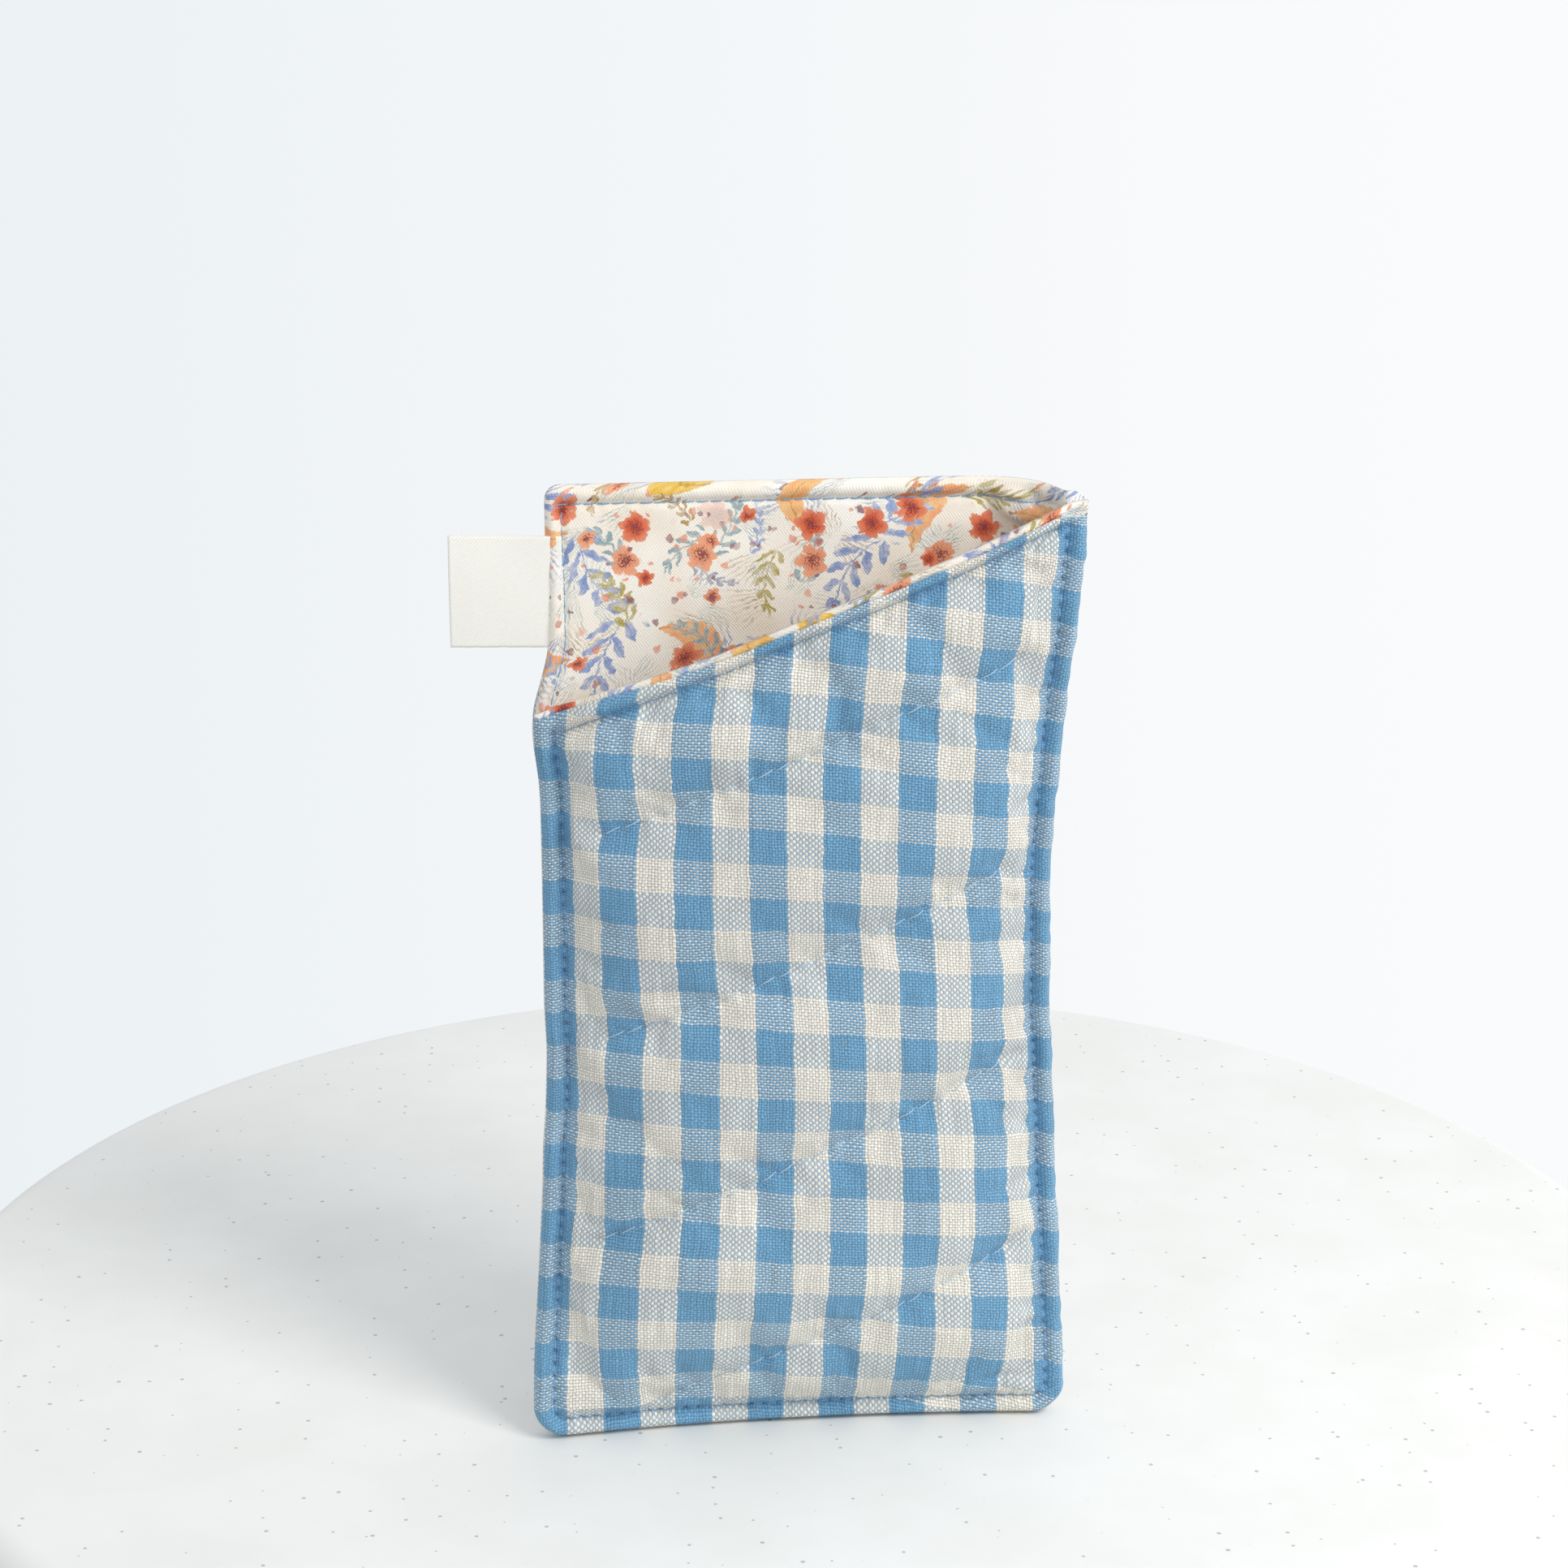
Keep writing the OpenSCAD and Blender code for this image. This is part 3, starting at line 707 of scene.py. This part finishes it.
# Grass: tufts of fine strokes that fan out, in grey teal, slate blue and brown.
for cell, shift, code in ((8.5, 1.9, "#9DB4B6"), (12.0, 6.3, "#8A9AC6"), (10.5, 9.2, "#BFA886")):
    gx, gy, _, odds = scattered(cell, shift, 0.9)
    fan = add("Math DIVIDE", gx, add("Math ADD", gy, 0.62))
    spokes = add("Math FRACT", add("Math MULTIPLY", fan, 9.0))
    spokes = add("Math ABSOLUTE", add("Math SUBTRACT", spokes, 0.5))
    stroke = add("Math MULTIPLY", add("MapRange", spokes, 0.13, 0.24, 1.0, 0.0),
                 add("MapRange", add("Math ABSOLUTE", fan), 0.38, 0.46, 1.0, 0.0))
    stroke = add("Math MULTIPLY", stroke,
                 add("Math MULTIPLY", add("MapRange", gy, -0.34, -0.24),
                     add("MapRange", gy, 0.05, 0.38, 1.0, 0.0)))
    stroke = add("Math MULTIPLY", stroke, add("MapRange", odds, 0.42, 0.46))
    colour = add("MixRGB", add("Math MULTIPLY", stroke, add("MapRange", wash, 0.35, 0.65, 0.25, 0.9)),
                 colour, srgb(code))

# Broad leaves, washed in mustard or peach, with a fine midrib.
lx, ly, pick, _ = scattered(21.0, 3.37, 0.8)
bend = add("Math MULTIPLY_ADD", add("Math MULTIPLY", ly, ly), 1.3, lx)
aside = add("Math ABSOLUTE", bend)
wide = add("Math MULTIPLY_ADD", add("Math MULTIPLY", ly, ly), -1.0, 0.13)
leaf = add("MapRange", add("Math SUBTRACT", wide, aside), 0.0, 0.012)
ink = add("MixRGB", add("MapRange", pick, 0.45, 0.55), srgb("#F3A97C"), srgb("#E7B93E"))
ink = add("MixRGB", add("MapRange", wash, 0.35, 0.7, 0.0, 0.7), ink, srgb("#F8DCA0"))
ink = add("MixRGB", add("MapRange", aside, 0.003, 0.009, 0.45, 0.0), ink, srgb("#8A6A3A"))
colour = add("MixRGB", leaf, colour, ink)

# Sprigs: a curved stem with pairs of pointed leaves, large in slate blue and small in teal or olive.
for cell, shift, gap, length, least, first, second in (
        (20.0, 4.9, 0.17, 0.13, 0.3, "#7F96CB", "#93A9D8"),
        (15.0, 7.9, 0.16, 0.10, 0.5, "#8FAAAE", "#B5A33F"),
        (11.0, 0.61, 0.16, 0.085, 0.68, "#9AA8CE", "#C29A52")):
    sx, sy, pick, odds = scattered(cell, shift, 0.85)
    bend = add("Math MULTIPLY_ADD", add("Math MULTIPLY", sy, sy), 0.8, sx)
    aside = add("Math ABSOLUTE", bend)
    reach = add("MapRange", add("Math ABSOLUTE", sy), 0.36, 0.40, 1.0, 0.0)
    stem = add("MapRange", aside, 0.1 / cell, 0.22 / cell, 1.0, 0.0)
    ladder = add("Math DIVIDE", add("Math MULTIPLY_ADD", aside, -0.95, sy), gap)
    rung = add("Math SUBTRACT", add("Math FRACT", ladder), 0.5)
    rung = add("Math ABSOLUTE", rung)
    taper = add("MapRange", sy, -0.40, 0.40, length, 0.35 * length)
    along_leaf = add("Math DIVIDE", add("Math SUBTRACT", aside, taper), taper)
    almond = add("Math MULTIPLY_ADD", add("Math MULTIPLY", along_leaf, along_leaf), -0.34, 0.34)
    almond = add("MapRange", add("Math SUBTRACT", almond, rung), 0.0, 0.06)
    sprig = add("Math MULTIPLY", add("Math MAXIMUM", stem, almond), reach)
    sprig = add("Math MULTIPLY", sprig, add("MapRange", odds, least, least + 0.04))
    ink = add("MixRGB", add("MapRange", pick, 0.45, 0.55), srgb(first), srgb(second))
    ink = add("MixRGB", add("MapRange", wash, 0.4, 0.75, 0.0, 0.6), ink, ground)
    ink = add("MixRGB", add("MapRange", rung, 0.0, 0.05, 0.5, 0.0), ink, srgb("#4E5C8C"))
    colour = add("MixRGB", add("Math MULTIPLY", sprig, add("MapRange", speck, 0.2, 0.5, 0.75, 0.95)),
                 colour, ink)

# Blossoms: five round petals in coral, paler towards their tips, with a dotted plum eye.
for cell, shift, size, least in ((13.0, 5.2, 0.21, 0.3), (9.0, 11.3, 0.17, 0.6)):
    bx, by, pick, odds = scattered(cell, shift, 0.85)
    r = add("Math SQRT", add("Math ADD", add("Math MULTIPLY", bx, bx), add("Math MULTIPLY", by, by)))
    angle = add("Math MULTIPLY", add("Math ARCTAN2", by, bx), 2.5)
    lobe = add("Math ABSOLUTE", add("Math COSINE", angle))
    lobe = add("Math POWER", lobe, 0.45)
    petal_r = add("Math MULTIPLY_ADD", lobe, 0.4 * size, 0.6 * size)
    petal_r = add("Math MULTIPLY", petal_r, add("MapRange", wash, 0.3, 0.7, 0.8, 1.25))
    bloom = add("MapRange", add("Math SUBTRACT", petal_r, r), 0.0, 0.1 * size)
    bloom = add("Math MULTIPLY", bloom, add("MapRange", odds, least, least + 0.04))
    ink = add("MixRGB", add("MapRange", pick, 0.3, 0.9), srgb("#DE5F35"), srgb("#F0A078"))
    ink = add("MixRGB", add("MapRange", r, 0.4 * size, size, 0.0, 0.4), ink, srgb("#F6C2A0"))
    dotted_r = add("Math ADD", r, add("MapRange", speck, 0.35, 0.65, -0.3 * size, 0.3 * size))
    ink = add("MixRGB", add("MapRange", dotted_r, 0.25 * size, 0.4 * size, 0.9, 0.0), ink, srgb("#7E3540"))
    colour = add("MixRGB", add("Math MULTIPLY", bloom, add("MapRange", speck, 0.2, 0.5, 0.85, 1.0)), colour,
                 ink)

# Berries: small coral and plum dots between the larger motifs.
for cell, shift, least in ((4.6, 2.9, 0.62), (2.7, 8.4, 0.8)):
    cx, cy, pick, odds = scattered(cell, shift, 0.95)
    r = add("Math SQRT", add("Math ADD", add("Math MULTIPLY", cx, cx), add("Math MULTIPLY", cy, cy)))
    berry = add("Math MULTIPLY", add("MapRange", r, 0.12, 0.16, 1.0, 0.0),
                add("MapRange", pick, least, least + 0.04))
    berry = add("Math MULTIPLY", berry, add("Math SUBTRACT", 1.0, leaf))
    ink = add("MixRGB", add("MapRange", odds, 0.5, 0.6), srgb("#EA8F6E"), srgb("#8E5560"))
    colour = add("MixRGB", add("Math MULTIPLY", berry, add("MapRange", wash, 0.3, 0.7, 0.9, 0.5)), colour,
                 ink)

# The weave of the ground shows as a faint grain of painted shade, lighter and darker where the yarns cross,
# one yarn each way every 0.27 mm; random specks vary the tone as well.
fine_pitch = 0.27
fine = add("VectorMath MULTIPLY", place, (math.pi / fine_pitch, math.pi / fine_pitch, 0))
fine = add("SeparateXYZ", fine).node
weave = add("Math MULTIPLY", add("Math SINE", fine.outputs[0]), add("Math SINE", fine.outputs[1]))
weave_shade_and_speckle = add("Math MULTIPLY", add("MapRange", weave, -1.0, 1.0, 0.94, 1.03),
            add("MapRange", speck, 0.25, 0.75, 0.95, 1.04))
tree.links.new(add("VectorMath MULTIPLY", colour, add("CombineXYZ", weave_shade_and_speckle, weave_shade_and_speckle, weave_shade_and_speckle)),
               shader.inputs["Base Color"])
tree.links.new(add("Bump", 0.5, 0.00008, None, weave), shader.inputs["Normal"])
for piece in lining.values():
    piece.data.materials.append(material)


# ------------------------------
# Topstitching
# Lockstitches in spun polyester thread dyed like the cloth, round the turned edges of both walls
# and along the mouth. Each one is a short bridge between two holes, sunk in its groove.
# ------------------------------
def stitches(name, side, rows, thickness, sunk, slant, node, face=1):
    """One tube for each stitch, laid on the finished cloth from hole to hole, and slightly slanted."""
    data = gingham[side].data if face == 1 else lining[side].data
    cloth = BVHTree.FromPolygons([v.co.copy() for v in data.vertices],
                                 [tuple(p.vertices) for p in data.polygons])
    chance = np.random.default_rng(len(name))
    thread_r = thickness * 0.0005
    # Each ray to the cloth starts well outside the wall, or well inside the case for the lining.
    start_lift = np.array(14.0 if face == 1 else -5.0)
    vertices, faces = [], []
    sides, rings = 6, 6
    for holes in rows:
        for start, end in zip(holes[:-1], holes[1:]):
            way = end - start
            normal = np.array([-way[1], way[0]]) / np.hypot(*way)
            depth = sunk * chance.uniform(0.7, 1.3)
            centres = []
            for t in np.linspace(0.05, 0.95, rings):
                spot = start + way * t + normal * slant * (t - 0.5)
                far = Vector(wall_point(side, spot[0], spot[1], start_lift))
                out = (far - Vector(wall_point(side, spot[0], spot[1], np.array(0.0)))).normalized()
                hit = cloth.ray_cast(far, -out)[0]
                if hit is None:
                    break
                rise = (1.15 * math.sqrt(math.sin(math.pi * t)) - depth) * thread_r
                centres.append((hit + out * rise, out))
            if len(centres) < rings:
                continue
            first = len(vertices)
            for c, (spot, out) in enumerate(centres):
                ahead = (centres[min(c + 1, rings - 1)][0] - centres[max(c - 1, 0)][0]).normalized()
                level = ahead.cross(out).normalized()
                upright = level.cross(ahead)
                radius = thread_r * (0.72 if c in (0, rings - 1) else 1.0)
                for q in range(sides):
                    turn = 2 * math.pi * q / sides
                    vertices.append(spot + radius * (math.cos(turn) * level + math.sin(turn) * upright))
            for c in range(rings - 1):
                for q in range(sides):
                    a, b = first + c * sides + q, first + c * sides + (q + 1) % sides
                    faces.append((a, b, b + sides, a + sides))
            faces.append(tuple(first + q for q in reversed(range(sides))))
            faces.append(tuple(first + (rings - 1) * sides + q for q in range(sides)))
    piece = make_piece(name, [tuple(v) for v in vertices], faces)
    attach(piece, "case")
    if node:
        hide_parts(node)
    return piece


bands_a_metre = 1400.0


def thread_material(name, code, ply_groove_shade):
    """Plied thread: fine slanted bands along the twist, the darker one painted shade in the grooves between
    the plies.
    """
    material, tree, shader, add = start_material(name, 0.65, 0.1)
    ply = add("TexWave", add("TexCoord", out=3), bands_a_metre, 1.0, 2.0, 1.0,
              bands_direction="DIAGONAL", out=1)
    # Painted shade: the darker colour lies in the grooves of the twist.
    tree.links.new(add("MixRGB", ply, srgb(ply_groove_shade), srgb(code)), shader.inputs["Base Color"])
    tree.links.new(add("Bump", 0.3, 0.00005, None, ply), shader.inputs["Normal"])
    return material


material = thread_material("spun_polyester_thread", "#93BADB", "#6C9BC6")
for piece in (
        stitches("front_edge_stitches", FRONT, [edge_holes[FRONT]], 0.3, 0.9, 0.1, "edge_topstitch"),
        stitches("back_edge_stitches", BACK, [edge_holes[BACK]], 0.3, 0.7, 0.1, None),
        stitches("lining_stitches", BACK, band_rows, 0.24, 0.9, 0.1, None, face=-1),
        stitches("mouth_stitches", FRONT, [mouth_holes], 0.26, 1.1, 0.1, "mouth_topstitch")):
    piece.data.materials.append(material)


# ------------------------------
# Quilting
# Slanted rows of fine, pale, nearly clear thread that hold the three layers of a wall together.
# The stitches lie a little askew and sink in the cloth, so that they show here and there.
# ------------------------------
material = thread_material("fine_quilting_thread", "#D6E6F0", "#A9C4DA")
for side, name, node in ((FRONT, "front_quilting_stitches", "front_quilting"),
                         (BACK, "back_quilting_stitches", "back_quilting")):
    piece = stitches(name, side, quilt_holes[side].values(), 0.2, 0.5, 0.5, node)
    piece.data.materials.append(material)


# ------------------------------
# Label
# A strip of ivory cotton tape, folded in half with its two cut ends caught in the back wall's left
# seam. It stands out sideways, and bends where it leaves the seam. It is bare.
# ------------------------------
label_l, label_h, label_drop, label_turn = 16.0, 19.0, 8.4, math.radians(6)
tape_t, ply_gap, half_edge_t = 0.4, 0.24, 1.03
label_mid_z = case_h - label_drop - label_h / 2
root = wall_point(BACK, left_side(label_mid_z), label_mid_z, half_edge_t)[:2] * 1000
outwards = np.array([-math.cos(label_turn), math.sin(label_turn)])
sideways = np.array([math.sin(label_turn), math.cos(label_turn)])
fold_x = label_l + 0.1
lengths = np.arange(-2.5, fold_x, 0.4)
path = [(s, -ply_gap) for s in lengths]
path += [(fold_x + ply_gap * math.cos(t),
          -ply_gap * math.sin(t)) for t in np.radians(np.linspace(90, -90, 9))]
path += [(s, ply_gap) for s in lengths[::-1]]
path = np.array(path)
heights = np.linspace(-label_h / 2, label_h / 2, 40)
points = np.zeros((len(heights), len(path), 3))
for row, h in enumerate(heights):
    cup = 0.25 * wander(path[:, 0], h, 12, 61) + 0.35 * (2 * h / label_h) ** 2
    spread = np.sign(path[:, 1]) * 0.1 * smooth((fold_x - path[:, 0]) / 4)
    away = path[:, 1] + (cup + spread) * smooth(path[:, 0] / 8)
    points[row, :, :2] = root + path[:, :1] * outwards + away[:, None] * sideways
    points[row, :, 2] = label_mid_z + h + 0.05 * wander(path[:, 0], h, 1.1,
                            67) * (abs(h) > label_h / 2 - 0.6)
run = np.concatenate([[0], np.cumsum(np.hypot(*np.diff(path, axis=0).T))])
label = cloth_mesh("folded_tape_label", points * 0.001,
                   (run[None] + 0 * heights[:, None], heights[:, None] + 0 * run))
thicken = label.modifiers.new("tape", "SOLIDIFY")
thicken.thickness = tape_t * 0.001
thicken.offset = 0
bpy.context.view_layer.objects.active = label
label.select_set(True)
bpy.ops.object.modifier_apply(modifier=thicken.name)
# Twill tape: fine slanted ribs, with painted shade darkening the colour in the grooves between them, and a
# faint cloudiness.
# The ribs are drawn 0.6 mm apart along it and 0.8 mm across, about twice as coarse as they are, so that
# they can be seen.
material, tree, shader, add = start_material("twill_cotton_tape", 0.85, 0.15)
rib_along, rib_across = 0.6, 0.8
place = add("UVMap", uv_map="cloth_mm")
ribs = (2 * math.pi / rib_along, 2 * math.pi / rib_across, 0)
lines = add("SeparateXYZ", add("VectorMath MULTIPLY", place, ribs)).node
rib = add("Math SINE", add("Math ADD", lines.outputs[0], lines.outputs[1]))
cotton = add("TexNoise", place, None, 1.2, 3.0, 0.6, noise_dimensions="2D")
tint = add("MixRGB", cotton, srgb("#F9F6EC"), srgb("#FFFDF6"))
# Painted shade: darker in the grooves between the ribs.
painted_rib_groove_shade = add("MapRange", rib, -1.0, 1.0, 0.94, 1.0)
tree.links.new(add("VectorMath MULTIPLY", tint, add("CombineXYZ", painted_rib_groove_shade, painted_rib_groove_shade, painted_rib_groove_shade)),
               shader.inputs["Base Color"])
tree.links.new(add("Bump", 0.4, 0.00006, None, rib), shader.inputs["Normal"])
label.data.materials.append(material)
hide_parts("label_tab")
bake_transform(label)


# ------------------------------
# Table, light and camera
# A round white table top against a pale wall, lit by a window in front on the right, with a bright
# wall on the right that lights the side of the case.
# ------------------------------
table_r, table_edge, table_drop, turns = 0.172, 0.006, 0.03, 160
profile = [(0.0, 0.0), (table_r - 0.05, 0.0)]
profile += [(table_r - table_edge + table_edge * math.sin(t), -table_edge + table_edge * math.cos(t))
            for t in np.radians(np.arange(0, 91, 10))]
profile += [(table_r, -table_drop)]
vertices, faces = [], []
for r, z in profile:
    for k in range(turns):
        turn = 2 * math.pi * k / turns
        vertices.append((r * math.cos(turn), r * math.sin(turn), z))
for ring in range(len(profile) - 1):
    for k in range(turns):
        p, q = ring * turns + k, ring * turns + (k + 1) % turns
        faces.append((p, p + turns, q + turns, q))
table = make_piece("table_top", vertices, faces)
forward = Vector((0.1115, 0.9938, 0))
table.location = forward * 0.0602 + Vector((0, 0, -0.0001))
# Speckled white paint: faint cloudiness, and a scatter of grey specks up to a millimetre across.
material, tree, shader, add = start_material("painted_table_top", 0.55, 0.0)
spot = add("TexCoord", out=3)
cloud = add("TexNoise", spot, None, 30.0, 3.0, 0.6)
specks = add("TexVoronoi", spot, None, 170.0, voronoi_dimensions="2D").node
chance = add("SeparateXYZ", specks.outputs["Color"]).node
size = add("MapRange", chance.outputs[0], 0.55, 1.0, 0.0, 0.07)
speck = add("Math LESS_THAN", specks.outputs["Distance"], size)
white = add("MixRGB", add("MapRange", cloud, 0.35, 0.65), srgb("#F0F0ED"), srgb("#F5F5F3"))
tree.links.new(add("MixRGB", add("Math MULTIPLY", speck, 0.5), white, srgb("#7C7A74")),
               shader.inputs["Base Color"])
table.data.materials.append(material)

world = bpy.data.worlds.new("pale_room")
bpy.context.scene.world = world
world.use_nodes = True
tree = world.node_tree
add = node_adder(tree)
# The wall behind is a little brighter on the window's side.
direction = add("SeparateXYZ", add("TexCoord", out=0)).node
wall = add("MixRGB", add("MapRange", direction.outputs[0], -0.13, 0.3), srgb("#ECF1F4"), srgb("#FAFBFC"))
rays = add("LightPath").node
seen = add("Math MAXIMUM", rays.outputs["Is Camera Ray"], rays.outputs["Is Glossy Ray"])
seen = add("Math MAXIMUM", seen, rays.outputs["Is Transmission Ray"])
ambient = add("Background", srgb("#F3F6F9"), 0.75)
shown = add("Background", wall, 1.0)
tree.links.new(add("MixShader", seen, ambient, shown), tree.nodes["World Output"].inputs["Surface"])

for name, place_at, size, energy in (
        ("window", (0.45, -0.50, 0.68), 0.34, 4.3), ("bright_wall", (0.80, 0.26, 0.30), 0.7, 1.25)):
    light = bpy.data.lights.new(name, "AREA")
    light.size, light.energy = size, energy
    light.color = (1.0, 0.985, 0.96)
    lamp = bpy.data.objects.new(name, light)
    lamp.location = place_at
    lamp.rotation_euler = (Vector((0, 0, 0.08)) - lamp.location).to_track_quat("-Z", "Y").to_euler()
    bpy.context.scene.collection.objects.link(lamp)

camera = bpy.data.cameras.new("camera")
camera.lens, camera.sensor_width = 75, 36
eye = bpy.data.objects.new("camera", camera)
eye.location = (-0.0621, -0.5306, 0.272)
pitch = math.radians(16)
sight = forward * math.cos(pitch) - Vector((0, 0, math.sin(pitch)))
eye.rotation_euler = sight.to_track_quat("-Z", "Y").to_euler()
bpy.context.scene.collection.objects.link(eye)
bpy.context.scene.camera = eye
bpy.context.scene.view_settings.view_transform = "Standard"
